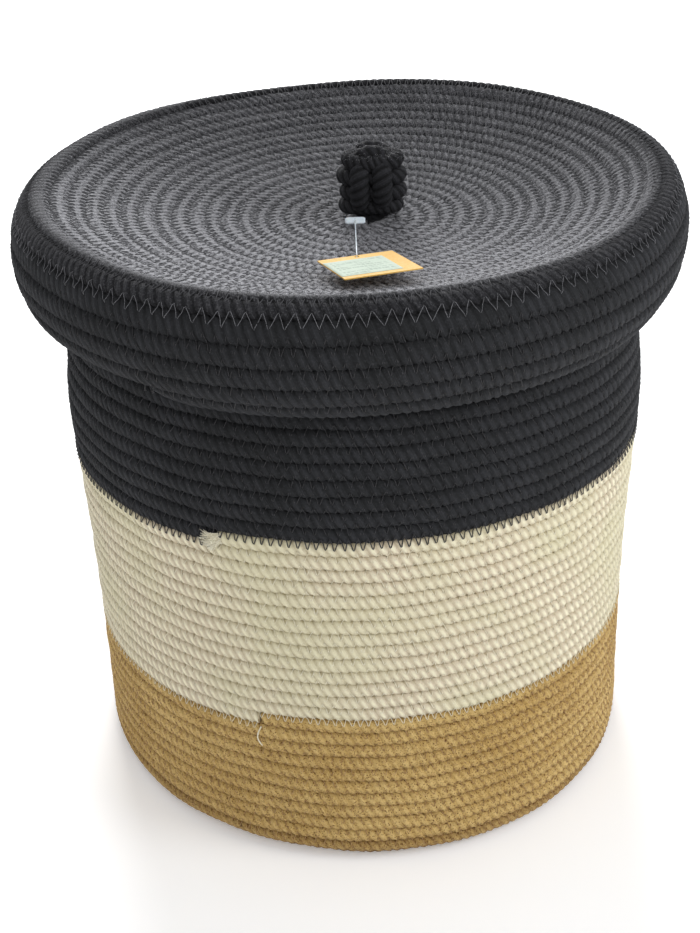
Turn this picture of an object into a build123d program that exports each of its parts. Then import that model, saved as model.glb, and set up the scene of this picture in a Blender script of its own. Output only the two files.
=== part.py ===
from build123d import *
import math
import os

# A round laundry hamper of coiled, zigzag-stitched rope, with an overlapping lid.
# Millimetres, Z up, origin at the middle of the underside. The front faces -Y.

# ---- driving dimensions -------------------------------------------------------------
rope_thickness = 8.5          # through the wall, after sewing
groove_depth = 1.6            # how far the groove between two turns sinks below their crowns
crown_start = 0.27            # share of a turn's width that each flank of its crown takes
end_round = 2.2               # how far a free edge is drawn out past its last groove line
thread_width = 1.2            # how far the thread reaches up each flank of its groove

base_pitch = 9.0              # from one turn to the next
base_turns = 18
foot_radius = 172.0           # outside of the wall just above the foot turn
belly_radius = 175.2          # outside of the wall where it is widest
belly_height = 160.0
mouth_radius = 163.0          # outside of the wall at the mouth
foot_draw_in = 2.0            # power of the curve from the belly down to the foot
mouth_draw_in = 1.7           # and of the one from the belly up to the mouth
foot_turn_top = 10.5
tan_top = 100.5               # join of the tan and the cream rope
tan_rows = 10
cream_top = 221.0             # join of the cream and the black rope
cream_rows = 14
black_pitch = 9.3
black_rows = 14
mouth_top = 356.8             # top of the last turn, which carries the lid

lid_crest_height = 376.5      # the dish's surface carried out to the crest
lid_crest_radius = 184.0
lid_dish_depth = 31.0         # how far the middle hangs below the crest
lid_dish_power = 2.6          # the dish is flat in the middle and steep at its rim
lid_pitch = 9.0
lid_turns = 20
first_sewn_turn = 3           # the coil's first turns are too tight to be sewn
skirt_start = (187.2, 366.0)  # radius and height of the skirt's middle line
skirt_middle = (192.8, 345.0)
skirt_end = (181.0, 313.5)
skirt_rows = 5

knob_x = 13.0                 # the coil's start, and the knob, lie a little off the middle
knob_strand = 8.4             # thickness of each strand of the knot
knob_radius = 20.5            # outside of the strands
knob_core = 23.0              # the square middle that the strands are wound on
knob_sides = 16
knob_spacing = 8.8            # between neighbouring strands of one band
level_strand_radius = 20.3    # of the middle level strand, whose neighbours are smaller
outer_strand_step = 0.25      # drop in radius per millimetre from the middle strand
top_strand_radius = 19.9
knob_height = 22.0            # of the knot's middle above the lid
neck_radius = 5.0
stop_radius = 10.0
neck_sunk = 1.0               # how far the neck reaches into the knot
stop_thickness = 11.0
stop_rounding = 4.4

pin_x = 3.8
pin_head_y = -22.5
pin_head = (11.5, 3.4, 1.2)   # across, along and through the flat head
pin_head_lift = 3.6           # of the head's middle above the lid
pin_reach = 73.0              # from the head to the card's hole
pin_thick_radius = 0.8
pin_taper_share = 0.2         # of the filament's length, next to the head
pin_thin_radius = 0.35
pin_foot = (8.0, 1.6, 1.0)    # the small bar under the card
filament_clearance = 1.2      # of the filament's end above the card's middle plane
flex_gap = 0.3                # between the filament and the foot it flexes against
bar_gap = 0.05                # between the card and the bar under it
card_size = (42.0, 50.0, 0.6)
card_turn = 17.0              # seen from above, anticlockwise
card_lift = 4.8               # of the card's hole above the lid
card_front_lift = 2.2         # of the card's front edge above the lid
card_hole_radius = 1.5
card_hole_margin = 3.5        # from the card's back edge to the hole
label_size = (33.0, 36.0, 0.12)
label_back = 9.0              # from the card's back edge to the label
label_x = -1.0                # off the card's middle line

rope_end_radius = 3.6
rope_end_rounding = 1.6
cream_end_length = 16.0
tan_end_length = 9.0
cream_end_angle = 243.0       # seen from above, from +X
tan_end_angle = 249.0
end_gap = 0.02                # keeps the loose rope ends off the turns beside them

os.makedirs("parts", exist_ok=True)


# ---- outlines -----------------------------------------------------------------------
def wall_radius(height):
    """Outside radius of the wall at a height: it swells to a belly, then draws in."""
    if height < belly_height:
        share = (belly_height - height) / belly_height
        return belly_radius - (belly_radius - foot_radius) * share ** foot_draw_in
    share = (height - belly_height) / (mouth_top - belly_height)
    return belly_radius - (belly_radius - mouth_radius) * share ** mouth_draw_in


def lid_top(radius):
    """Height of the lid's dished top, over the crowns of its turns."""
    share = (radius / lid_crest_radius) ** lid_dish_power
    return lid_crest_height - lid_dish_depth * (1 - share)


def unit(a, b):
    """Unit vector from point a to point b."""
    length = math.hypot(b[0] - a[0], b[1] - a[1])
    return ((b[0] - a[0]) / length, (b[1] - a[1]) / length)


def beside(point, direction, distance):
    """The point at a distance to the left of a direction."""
    return (point[0] - direction[1] * distance, point[1] + direction[0] * distance)


def groove_direction(path, index):
    """Direction of a path of groove points at one of them, halved between its two sides."""
    before = unit(path[max(index - 1, 0)], path[max(index, 1)])
    after = unit(path[min(index, len(path) - 2)], path[min(index + 1, len(path) - 1)])
    length = math.hypot(before[0] + after[0], before[1] + after[1])
    return ((before[0] + after[0]) / length, (before[1] + after[1]) / length)


def groove(path, index, side):
    """The bottom of the groove beside one of a path's points. side is 1 for left, -1 for right."""
    direction = groove_direction(path, index)
    if path[index][0] == 0:
        direction = (1.0, 0.0)
    return beside(path[index], direction, side * (rope_thickness / 2 - groove_depth))


def crown(path, index, side):
    """The two corners of the crown between point index and the next one. side is 1 or -1."""
    start, stop = path[index], path[index + 1]
    direction = unit(start, stop)
    length = math.dist(start, stop)
    corners = []
    for share in (crown_start, 1 - crown_start):
        along = (start[0] + direction[0] * length * share, start[1] + direction[1] * length * share)
        corners.append(beside(along, direction, side * rope_thickness / 2))
    return corners


def ring(points):
    """The solid that an outline of (radius, height) points makes round the Z axis."""
    return revolve(make_face(Polyline([(x, 0, z) for x, z in points], close=True)), Axis.Z)


def turns(path, first, last, flat_right=False, round_end=False):
    """The solid of the turns first..last of a path, crowned on both sides.

    With flat_right, the right side is one straight line. With round_end, the last turn's free
    end has its two edges taken off.
    """
    left = [groove(path, first, 1)]
    right = [groove(path, first, -1)]
    for index in range(first, last + 1):
        left += [*crown(path, index, 1), groove(path, index + 1, 1)]
        right += [*crown(path, index, -1), groove(path, index + 1, -1)]
    if flat_right:
        height = crown(path, first, -1)[0][1]
        right = [(right[0][0], height), (right[-1][0], height)]
    if round_end:
        direction = groove_direction(path, last + 1)
        tip = path[last + 1]
        beyond = (tip[0] + direction[0] * end_round, tip[1] + direction[1] * end_round)
        left.append(beside(beyond, direction, end_round / 2))
        right.append(beside(beyond, direction, -end_round / 2))
    return ring(left + right[::-1])


def thread_rings(path, indices, side):
    """One ring of thread in each groove, filling it from its bottom."""
    rings = []
    for index in indices:
        bottom = groove(path, index, side)
        before = unit(bottom, crown(path, index - 1, side)[1])
        after = unit(bottom, crown(path, index, side)[0])
        near = (bottom[0] + before[0] * thread_width, bottom[1] + before[1] * thread_width)
        far = (bottom[0] + after[0] * thread_width, bottom[1] + after[1] * thread_width)
        rings.append(ring([bottom, near, far]))
    return Compound(children=rings)


def write(node, shape):
    export_step(shape, f"parts/{node}.step")


# ---- the coil's paths, as radius and height of the groove points ----------------------
base_path = [(base_pitch * turn, rope_thickness / 2) for turn in range(base_turns + 1)]


def wall_point(height):
    return (wall_radius(height) - rope_thickness / 2, height)


tan_pitch = (tan_top - foot_turn_top) / tan_rows
cream_pitch = (cream_top - tan_top) / cream_rows
wall_heights = [foot_turn_top + tan_pitch * row for row in range(tan_rows)]
wall_heights += [tan_top + cream_pitch * row for row in range(cream_rows)]
wall_heights += [cream_top + black_pitch * row for row in range(black_rows + 1)]
mouth_end = mouth_top - end_round
wall_heights.append(mouth_end)
body_path = base_path + [wall_point(height) for height in wall_heights]

foot_index = base_turns
tan_index = foot_index + 1
cream_index = tan_index + tan_rows
black_index = cream_index + cream_rows
mouth_index = black_index + black_rows

lid_path = [
    (lid_pitch * turn, lid_top(lid_pitch * turn) - rope_thickness / 2)
    for turn in range(lid_turns + 1)
]
skirt_line = ThreePointArc(skirt_start, skirt_middle, skirt_end)
skirt_points = [skirt_line @ (row / skirt_rows) for row in range(skirt_rows + 1)]
lid_path += [(point.X, point.Y) for point in skirt_points]
crest_index = lid_turns
skirt_index = crest_index + 1
edge_index = skirt_index + skirt_rows - 1


# ---- the hamper ---------------------------------------------------------------------
# On the body's path the left side is the inside of the hamper, and the right side the outside.
inside, outside = 1, -1
write("base_rope", turns(body_path, 0, base_turns - 1, flat_right=True))
write("foot_turn", turns(body_path, foot_index, foot_index))
write("tan_wall_rope", turns(body_path, tan_index, cream_index - 1))
write("cream_wall_rope", turns(body_path, cream_index, black_index - 1))
write("black_wall_rope", turns(body_path, black_index, mouth_index - 1))
write("mouth_turn", turns(body_path, mouth_index, mouth_index, round_end=True))

# Sewing thread: one ring stands for each turn's zigzag stitches.
write("base_thread", thread_rings(body_path, range(1, base_turns), inside))
write("tan_thread", thread_rings(body_path, range(tan_index + 1, cream_index), outside))
write("tan_join_thread", thread_rings(body_path, [cream_index], outside))
write("cream_thread", thread_rings(body_path, range(cream_index + 1, black_index), outside))
write("cream_join_thread", thread_rings(body_path, [black_index], outside))
write("black_thread", thread_rings(body_path, range(black_index + 1, mouth_index + 1), outside))


def rope_end(angle, height, length):
    """The loose end of a rope colour: a short round stub that lies against the wall."""
    stand_off = wall_radius(height) + rope_end_radius + end_gap
    stub = Cylinder(rope_end_radius, length)
    stub = fillet(stub.edges(), rope_end_rounding)
    return Rot(0, 0, angle) * Pos(stand_off, 0, height) * Rot(90, 0, 0) * stub


write("cream_rope_end", rope_end(cream_end_angle, cream_top - cream_pitch / 2, cream_end_length))
write("tan_rope_end", rope_end(tan_end_angle, tan_top - tan_pitch / 2, tan_end_length))


# ---- the lid ------------------------------------------------------------------------
# On the lid's path the left side is the upper and outer one.
upper = 1
neck_hole_depth = 4 * rope_thickness     # well past both faces of the lid
knob_foot = lid_top(0)
neck_hole = Pos(knob_x, 0, knob_foot) * Cylinder(neck_radius, neck_hole_depth)
write("lid_top_rope", turns(lid_path, 0, lid_turns - 1) - neck_hole)
write("lid_crest_turn", turns(lid_path, crest_index, crest_index))
write("lid_skirt_rope", turns(lid_path, skirt_index, edge_index - 1))
write("lid_edge_turn", turns(lid_path, edge_index, edge_index, round_end=True))
write("lid_top_thread", thread_rings(lid_path, range(first_sewn_turn, crest_index + 1), upper))
write("lid_skirt_thread", thread_rings(lid_path, range(skirt_index, edge_index + 1), upper))


# ---- the knob: three bands of strands wrapped round each other -----------------------
def strand(axis_turn, offset, radius):
    """One turn of rope round the knot, as a many-sided disc."""
    disc = extrude(RegularPolygon(radius, knob_sides), knob_strand / 2, both=True)
    return axis_turn * Pos(0, 0, offset) * disc


knob_centre_height = knob_foot + knob_height
level, upright, across = Rot(0, 0, 0), Rot(0, 90, 0), Rot(90, 0, 0)
knot = Box(knob_core, knob_core, knob_core)
for offset in (-knob_spacing / 2, knob_spacing / 2):
    knot += strand(upright, offset, knob_radius)
for offset in (-knob_spacing, 0, knob_spacing):
    knot += strand(level, offset, level_strand_radius - outer_strand_step * abs(offset))
knot += strand(across, 0, top_strand_radius)
knot = Pos(knob_x, 0, knob_centre_height) * knot
write("knob_knot", knot)

neck_top = knob_centre_height - knob_radius + neck_sunk
neck_bottom = knob_foot - rope_thickness
neck = Pos(knob_x, 0, (neck_top + neck_bottom) / 2) * Cylinder(neck_radius, neck_top - neck_bottom)
write("knob_neck", neck - knot)

stop_knot = fillet(Cylinder(stop_radius, stop_thickness).edges(), stop_rounding)
write("knob_stop_knot", Pos(knob_x, 0, neck_bottom - stop_thickness / 2) * stop_knot)


# ---- the swing tag and its pin --------------------------------------------------------
head_height = lid_top(abs(pin_head_y)) + pin_head_lift
hole_y = pin_head_y - pin_reach
hole_height = lid_top(abs(hole_y)) + card_lift
filament_start = Vector(pin_x, pin_head_y, head_height)
hole_at = Vector(pin_x, hole_y, hole_height)

# The card's plane: through the hole, turned, and sloping with the dish to its front edge.
turn = math.radians(card_turn)
front_x = pin_x + math.sin(turn) * (card_size[1] - card_hole_margin)
front_y = hole_y - math.cos(turn) * (card_size[1] - card_hole_margin)
front_height = lid_top(math.hypot(front_x, front_y)) + card_front_lift
along = Vector(front_x, front_y, front_height) - hole_at
sideways = Vector(math.cos(turn), math.sin(turn), 0)
card_plane = Plane(origin=hole_at, x_dir=sideways, z_dir=along.cross(sideways))
card_centre = card_size[1] / 2 - card_hole_margin
card = Pos(0, -card_centre, 0) * Box(*card_size)
card = card - Cylinder(card_hole_radius, card_size[2] * 4)
write("tag_card", card_plane.location * card)

label_y = card_hole_margin - label_back - label_size[1] / 2
label_z = card_size[2] / 2 + label_size[2] / 2
write("tag_label", card_plane.location * Pos(label_x, label_y, label_z) * Box(*label_size))

# The pin is one moulding: flat head, tapered filament and the small bar under the card. Its
# filament flexes where it goes through the card, so the foot below that point is a node of its own.
filament_end = card_plane.from_local_coords(Vector(0, 0, filament_clearance))
filament_plane = Plane(origin=filament_start, x_dir=(1, 0, 0), z_dir=filament_end - filament_start)
filament_length = (filament_end - filament_start).length
taper_length = filament_length * pin_taper_share
thin_length = filament_length - taper_length
taper = Pos(0, 0, taper_length / 2) * Cone(pin_thick_radius, pin_thin_radius, taper_length)
thin = Pos(0, 0, taper_length + thin_length / 2) * Cylinder(pin_thin_radius, thin_length)
head = Pos(*filament_start) * Box(*pin_head)
write("tag_pin", head + filament_plane.location * (taper + thin))

bar_depth = card_size[2] / 2 + bar_gap + pin_foot[2] / 2
stem_top = filament_clearance - pin_thin_radius - flex_gap
stem_length = stem_top + bar_depth
stem = Pos(0, 0, stem_top - stem_length / 2) * Cylinder(pin_thin_radius, stem_length)
foot_bar = Pos(0, 0, -bar_depth) * Box(*pin_foot)
write("tag_pin_foot", card_plane.location * (stem + foot_bar))

print("pin head", tuple(filament_start), "flex", tuple(filament_end))
print("body height", round(mouth_top, 1), "lid top", round(lid_top(lid_crest_radius), 1))
print("knob top", round(knob_centre_height + knob_radius, 1))
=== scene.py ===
import math

import bpy
import numpy as np
from mathutils import Matrix, Vector


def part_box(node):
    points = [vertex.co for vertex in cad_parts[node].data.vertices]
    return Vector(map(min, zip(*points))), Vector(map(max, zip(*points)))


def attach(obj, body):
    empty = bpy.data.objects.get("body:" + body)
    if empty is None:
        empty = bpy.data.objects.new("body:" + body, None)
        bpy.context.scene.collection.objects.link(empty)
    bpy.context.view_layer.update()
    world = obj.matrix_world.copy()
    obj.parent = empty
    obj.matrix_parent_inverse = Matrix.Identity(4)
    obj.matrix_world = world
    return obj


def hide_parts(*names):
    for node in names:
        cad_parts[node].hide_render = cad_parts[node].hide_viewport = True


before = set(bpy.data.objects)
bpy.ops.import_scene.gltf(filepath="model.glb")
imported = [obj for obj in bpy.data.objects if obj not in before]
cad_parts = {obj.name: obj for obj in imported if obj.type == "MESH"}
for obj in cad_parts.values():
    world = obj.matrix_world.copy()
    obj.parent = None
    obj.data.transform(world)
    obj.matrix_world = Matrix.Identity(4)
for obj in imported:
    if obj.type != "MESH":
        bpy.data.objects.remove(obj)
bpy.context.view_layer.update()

chance = np.random.default_rng(23)
fullTurn = 2 * math.pi


class Wire:
    # one socket of a material, so that its sums can be written as plain Python
    def __init__(self, bench, socket):
        self.bench = bench
        self.socket = socket

    def __add__(self, other):
        return self.bench.sum("ADD", self, other)

    def __radd__(self, other):
        return self.bench.sum("ADD", other, self)

    def __mul__(self, other):
        return self.bench.sum("MULTIPLY", self, other)

    def __rmul__(self, other):
        return self.bench.sum("MULTIPLY", other, self)


class Bench:
    # a material and the few ways in which nodes are put into it
    def __init__(self, name):
        self.material = bpy.data.materials.new(name)
        self.material.use_nodes = True
        self.tree = self.material.node_tree
        self.tree.nodes.clear()

    def node(self, kind, settings=None, sockets=None, out=0):
        made = self.tree.nodes.new(kind)
        for key, value in (settings or {}).items():
            setattr(made, key, value)
        for key, value in (sockets or {}).items():
            if isinstance(value, Wire):
                self.tree.links.new(value.socket, made.inputs[key])
            else:
                made.inputs[key].default_value = value
        return Wire(self, made.outputs[out]) if len(made.outputs) else None

    def sum(self, operation, first, second):
        return self.node("ShaderNodeMath", {"operation": operation}, {0: first, 1: second})

    def mark(self, name, out="Fac"):  # a value that the mesh carries
        return self.node("ShaderNodeAttribute", {"attribute_name": name}, out=out)

    def place(self):
        return self.node("ShaderNodeTexCoord", out="Object")

    def stretch(self, vector, scales):
        return self.node("ShaderNodeVectorMath", {"operation": "MULTIPLY"}, {0: vector, 1: scales})

    def noise(self, vector, scale, detail=2.0, rough=0.5):
        return self.node("ShaderNodeTexNoise", None,
                         {"Vector": vector, "Scale": scale, "Detail": detail, "Roughness": rough})

    def ease(self, value, low, high, first=0.0, last=1.0):
        return self.node("ShaderNodeMapRange", {"interpolation_type": "SMOOTHSTEP"},
                         {"Value": value, "From Min": low, "From Max": high,
                          "To Min": first, "To Max": last})

    def blend(self, amount, first, second):
        return self.node("ShaderNodeMix", {"data_type": "RGBA"}, {0: amount, 6: first, 7: second}, out=2)

    def bump(self, height, depth, strength=1.0):
        return self.node("ShaderNodeBump", None,
                         {"Strength": strength, "Distance": depth, "Height": height})

    def finish(self, sockets):
        shell = self.node("ShaderNodeBsdfPrincipled", None, sockets)
        self.node("ShaderNodeOutputMaterial", None, {"Surface": shell})
        return self.material


def paint(red, green, blue):
    # a colour as it is seen on a screen, 0 to 255, turned into the light a shader works in
    return (*[((part / 255 + 0.055) / 1.055) ** 2.4 for part in (red, green, blue)], 1.0)


def ropeFinish(name, look):
    # twisted yarn: patches along the rope, fibres that run with it, pale stray hairs, painted shade in its
    # valleys and seams, and painted highlights on its crowns
    bench = Bench(name)
    along = bench.mark("ropePlace", "Vector")
    dustAndLight = bench.mark("dustAndLight")
    valley = bench.mark("valley")
    seam = bench.mark("seam")
    place = bench.place()
    patches = bench.noise(place, look["patchScale"], 3.0, 0.6)
    yarn = bench.noise(bench.stretch(along, (170.0, 1500.0, 1500.0)), 1.0, 3.0, 0.6)
    hair = bench.noise(bench.stretch(place, (900.0, 900.0, 900.0)), 1.0, 2.0, 0.7)
    colour = bench.blend(bench.ease(patches, 0.35, 0.65), look["main"], look["second"])
    # painted light: the lid's dish is lightened towards its front, partly for real lint, partly standing in
    # for the back light; the same share also raises the pale yarn and hairs
    colour = bench.blend(dustAndLight * look["dustAndLightAmount"], colour, look["light"])
    # painted highlight: the crowns of the strands are lightened towards the light colour
    paintedCrownHighlight = bench.ease(valley, 0.4, 0.0) * bench.ease(seam, 0.35, 0.0)
    colour = bench.blend(paintedCrownHighlight * look["crownHighlightAmount"] * (0.3 + bench.ease(patches, 0.3, 0.7)), colour,
                         look["light"])
    dustAndLightShare = 0.35 + dustAndLight * 0.65
    colour = bench.blend(bench.ease(yarn, 0.48, 0.72) * look["lightAmount"] * dustAndLightShare, colour, look["light"])
    colour = bench.blend(bench.ease(hair, 0.52, 0.68) * look["hairAmount"] * dustAndLightShare, colour, look["light"])
    # painted shade: the strands' valleys, the grooves between turns and the foot are darkened towards the
    # deep colour, together with real dark flecks
    paintedShadeAndFlecks = valley * look["valleyShadeAmount"] + seam * look["seamShadeAmount"]
    paintedShadeAndFlecks = paintedShadeAndFlecks + bench.mark("paintedFootShade") * look["footShadeAmount"]
    paintedShadeAndFlecks = paintedShadeAndFlecks + bench.ease(hair, 0.45, 0.3) * look["fleckAmount"]
    colour = bench.blend(bench.ease(paintedShadeAndFlecks, 0.0, 1.0), colour, look["deep"])
    height = yarn * 0.7 + hair * 0.5
    return bench.finish({
        "Base Color": colour, "Roughness": bench.ease(yarn, 0.3, 0.7, 0.95, 0.75),
        "Normal": bench.bump(height, 0.0006, look["bump"]),
        "Specular IOR Level": 0.25, "Sheen Weight": look["sheen"], "Sheen Roughness": 0.45,
        "Sheen Tint": look["sheenTint"],
    })


def threadFinish(name, look):
    bench = Bench(name)
    place = bench.place()
    ply = bench.noise(place, 1400.0, 1.0)
    patches = bench.noise(place, 60.0, 2.0)
    colour = bench.blend(bench.ease(patches, 0.35, 0.65), look["main"], look["second"])
    colour = bench.blend(bench.ease(ply, 0.4, 0.7) * 0.6, colour, look["light"])
    return bench.finish({
        "Base Color": colour, "Roughness": bench.ease(ply, 0.3, 0.7, 0.5, 0.75),
        "Normal": bench.bump(ply, 0.0002, 0.5),
        "Specular IOR Level": 0.4, "Sheen Weight": look["sheen"], "Sheen Roughness": 0.4,
    })


# main, second, light and deep are the yarn's colours, and each amount is a share from 0 to about 1; deep is
# also the painted shade in the valleys, the seams and at the foot, and light the painted highlight on the
# crowns and the painted light on the lid's dish
plainYarn = {
    "lightAmount": 0.35, "hairAmount": 0.5, "fleckAmount": 0.15, "crownHighlightAmount": 0.06, "dustAndLightAmount": 0.0,
    "valleyShadeAmount": 0.4, "seamShadeAmount": 0.4, "footShadeAmount": 0.0, "patchScale": 30.0, "bump": 1.6,
    "sheen": 0.04, "sheenTint": paint(220, 221, 225),
}
blackRope = ropeFinish("black_rope_yarn", {
    **plainYarn, "main": paint(26, 27, 28), "second": paint(31, 32, 34), "light": paint(80, 81, 86),
    "deep": paint(14, 14, 15), "crownHighlightAmount": 0.10, "bump": 0.8, "sheen": 0.045,
    "sheenTint": paint(200, 202, 212),
})
# painted light: the dish and crest are lighter copies of the black rope, partly for real lint, partly
# because they face the light; the crest lies between the dish and the skirt
lidRopeLintAndLight = ropeFinish("lid_rope_lint_and_painted_light", {
    **plainYarn, "main": paint(40, 40, 43), "second": paint(48, 48, 51), "light": paint(184, 184, 188),
    "deep": paint(15, 15, 17), "lightAmount": 0.5, "hairAmount": 0.8, "fleckAmount": 0.9,
    "dustAndLightAmount": 0.76, "valleyShadeAmount": 0.5, "seamShadeAmount": 0.35, "sheen": 0.12,
})
crestRopeLintAndLight = ropeFinish("crest_rope_lint_and_painted_light", {
    **plainYarn, "main": paint(30, 30, 33), "second": paint(36, 36, 39), "light": paint(140, 140, 144),
    "deep": paint(12, 12, 14), "fleckAmount": 0.5, "dustAndLightAmount": 0.05, "valleyShadeAmount": 0.6,
    "seamShadeAmount": 0.6, "bump": 1.4, "sheen": 0.05,
})
knobRope = ropeFinish("knob_rope_yarn", {
    **plainYarn, "main": paint(30, 30, 33), "second": paint(37, 37, 40), "light": paint(92, 92, 97),
    "deep": paint(7, 7, 8), "lightAmount": 0.4, "hairAmount": 0.4, "fleckAmount": 0.3,
    "crownHighlightAmount": 0.08, "valleyShadeAmount": 0.9, "seamShadeAmount": 0.0,
})
creamRope = ropeFinish("cream_rope_yarn", {
    **plainYarn, "main": paint(212, 204, 172), "second": paint(210, 196, 172),
    "light": paint(250, 246, 214), "deep": paint(158, 142, 104), "lightAmount": 1.0, "hairAmount": 0.6,
    "crownHighlightAmount": 0.55, "valleyShadeAmount": 0.36, "seamShadeAmount": 0.35, "patchScale": 14.0, "bump": 0.7,
    "sheen": 0.1, "sheenTint": paint(255, 250, 240),
})
tanRope = ropeFinish("tan_rope_yarn", {
    **plainYarn, "main": paint(185, 150, 85), "second": paint(201, 168, 103),
    "light": paint(231, 205, 143), "deep": paint(102, 66, 28), "lightAmount": 1.2, "hairAmount": 1.0,
    "fleckAmount": 1.0, "crownHighlightAmount": 0.25, "valleyShadeAmount": 0.22, "footShadeAmount": 0.55,
    "patchScale": 18.0, "sheen": 0.08, "sheenTint": paint(255, 235, 200),
})
blackThread = threadFinish("black_thread_twist", {
    "main": paint(30, 29, 30), "second": paint(38, 37, 38), "light": paint(66, 66, 70), "sheen": 0.1,
})
# painted highlight: the black thread is made grey where it crosses the crest, as it catches the light there
blackThreadPaintedHighlight = threadFinish("black_thread_painted_highlight", {
    "main": paint(84, 84, 88), "second": paint(104, 104, 108), "light": paint(150, 150, 154),
    "sheen": 0.3,
})
# painted light: the black thread is made a little lighter on the lid's dish, which faces the light
blackThreadPaintedLight = threadFinish("black_thread_painted_light", {
    "main": paint(50, 50, 53), "second": paint(62, 62, 65), "light": paint(92, 92, 96), "sheen": 0.1,
})
paleLint = threadFinish("pale_lint", {
    "main": paint(150, 150, 154), "second": paint(120, 120, 124), "light": paint(206, 206, 208),
    "sheen": 0.3,
})
creamThread = threadFinish("cream_thread_twist", {
    "main": paint(226, 220, 196), "second": paint(214, 206, 178), "light": paint(246, 242, 226),
    "sheen": 0.1,
})
frayThread = threadFinish("frayed_yarn", {
    "main": paint(236, 232, 212), "second": paint(212, 204, 176), "light": paint(252, 250, 236),
    "sheen": 0.1,
})
tanThread = threadFinish("tan_thread_twist", {
    "main": paint(168, 130, 80), "second": paint(146, 108, 62), "light": paint(212, 180, 130),
    "sheen": 0.1,
})
print("materials mixed")


def buildPiece(name, points, faces, marks=None, finish=None):
    # points is (n, 3); faces is a list of whole-number arrays, each with one face in a row
    mesh = bpy.data.meshes.new(name)
    mesh.vertices.add(len(points))
    mesh.vertices.foreach_set("co", np.asarray(points, dtype=np.float32).ravel())
    corners = np.concatenate([group.ravel() for group in faces])
    counts = np.concatenate([np.full(len(group), group.shape[1]) for group in faces])
    starts = np.concatenate([[0], np.cumsum(counts)[:-1]])
    mesh.loops.add(len(corners))
    mesh.loops.foreach_set("vertex_index", corners.astype(np.int32))
    mesh.polygons.add(len(counts))
    mesh.polygons.foreach_set("loop_start", starts.astype(np.int32))
    for key, values in (marks or {}).items():
        kind, field = ("FLOAT_VECTOR", "vector") if values.ndim == 2 else ("FLOAT", "value")
        mesh.attributes.new(key, kind, "POINT").data.foreach_set(field, values.astype(np.float32).ravel())
    mesh.update(calc_edges=True)
    mesh.validate()
    mesh.shade_smooth()
    if finish:
        mesh.materials.append(finish)
    piece = bpy.data.objects.new(name, mesh)
    bpy.context.scene.collection.objects.link(piece)
    return piece


def tubeFaces(rings, sides, tubes=1, closed=False, inward=False):
    # faces of tubes whose points lie ring by ring, side by side
    side = np.arange(sides)
    nextSide = (side + 1) % sides
    ring = np.arange(rings if closed else rings - 1)[:, None]
    nextRing = (ring + 1) % rings
    quads = np.stack([ring * sides + side, nextRing * sides + side,
                      nextRing * sides + nextSide, ring * sides + nextSide], axis=-1).reshape(-1, 4)
    groups = [quads]
    if not closed:
        groups.append(np.stack([side, (rings - 1) * sides + side[::-1]]))
    if inward:
        groups = [group[:, ::-1] for group in groups]
    shift = (np.arange(tubes) * rings * sides)[:, None, None]
    return [(group[None] + shift).reshape(-1, group.shape[1]) for group in groups]


def unit(vectors):
    return vectors / np.maximum(np.linalg.norm(vectors, axis=-1, keepdims=True), 1e-12)


def thinTubes(paths, radii, sides, facing):
    # paths is (tubes, rings, 3), and facing is any direction that isn't along them
    run = unit(np.gradient(paths, axis=1))
    side = unit(np.cross(run, facing))
    lift = np.cross(side, run)
    angle = np.arange(sides) * fullTurn / sides
    ring = side[:, :, None] * np.cos(angle)[:, None] + lift[:, :, None] * np.sin(angle)[:, None]
    points = paths[:, :, None] + ring * radii[..., None, None]
    return points.reshape(-1, 3), tubeFaces(paths.shape[1], sides, len(paths))


def curveThrough(points, rows):
    # a smooth line through evenly counted points: the place and the direction at each row
    points = np.vstack([2 * points[0] - points[1], points, 2 * points[-1] - points[-2]])
    index = np.clip(np.floor(rows).astype(int), 0, len(points) - 4)
    part = (rows - index)[..., None]
    before, start, stop, after = (points[index + step] for step in range(4))
    bend = 2 * before - 5 * start + 4 * stop - after
    twist = 3 * start - before - 3 * stop + after
    place = 0.5 * (2 * start + (stop - before) * part + bend * part ** 2 + twist * part ** 3)
    slope = 0.5 * ((stop - before) + 2 * bend * part + 3 * twist * part ** 2)
    return place, slope


class Coil:
    # a rope wound in a spiral: row says how far along the profile, turn says how far round
    def __init__(self, profile, outward, startAngle, unevenness, settle):
        self.profile = np.array(profile)
        self.outward = outward  # 1 where out is to the right of the profile's direction, -1 to the left
        self.startAngle = math.radians(startAngle)
        self.unevenness = unevenness
        self.settle = settle  # a function that takes the round, level coil to how it really lies
        stepsInTurn, rounds = 240, len(profile) - 1
        self.turns = np.linspace(0, rounds, stepsInTurn * rounds + 1)
        radius = curveThrough(self.profile, self.turns)[0][:, 0]
        steps = np.diff(self.turns) * fullTurn * (radius[1:] + radius[:-1]) / 2
        self.lengths = np.concatenate([[0], np.cumsum(steps)])

    def lengthAt(self, turn):
        return np.interp(turn, self.turns, self.lengths)

    def turnAt(self, length):
        return np.interp(length, self.lengths, self.turns)

    def swell(self, turn):  # how far a stretch of rope stands out of line
        return self.unevenness * (0.5 * np.sin(fullTurn * 5.37 * turn)
                                  + 0.3 * np.sin(fullTurn * 8.61 * turn + 1)
                                  + 0.2 * np.sin(fullTurn * 13.27 * turn + 2))

    def at(self, row, turn, lift, along=0.0):
        row, turn = np.broadcast_arrays(row, turn)
        place, slope = curveThrough(self.profile, row)
        slope = unit(slope)
        part = row - turn
        lift = lift + (1 - part) * self.swell(turn) + part * self.swell(turn + 1)
        out = np.stack([slope[..., 1], -slope[..., 0]], axis=-1) * self.outward
        place = place + out * np.asarray(lift)[..., None] + slope * np.asarray(along)[..., None]
        angle = self.startAngle - fullTurn * turn
        return self.settle(np.stack([place[..., 0] * np.cos(angle), place[..., 0] * np.sin(angle),
                                     place[..., 1]], axis=-1))


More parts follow.
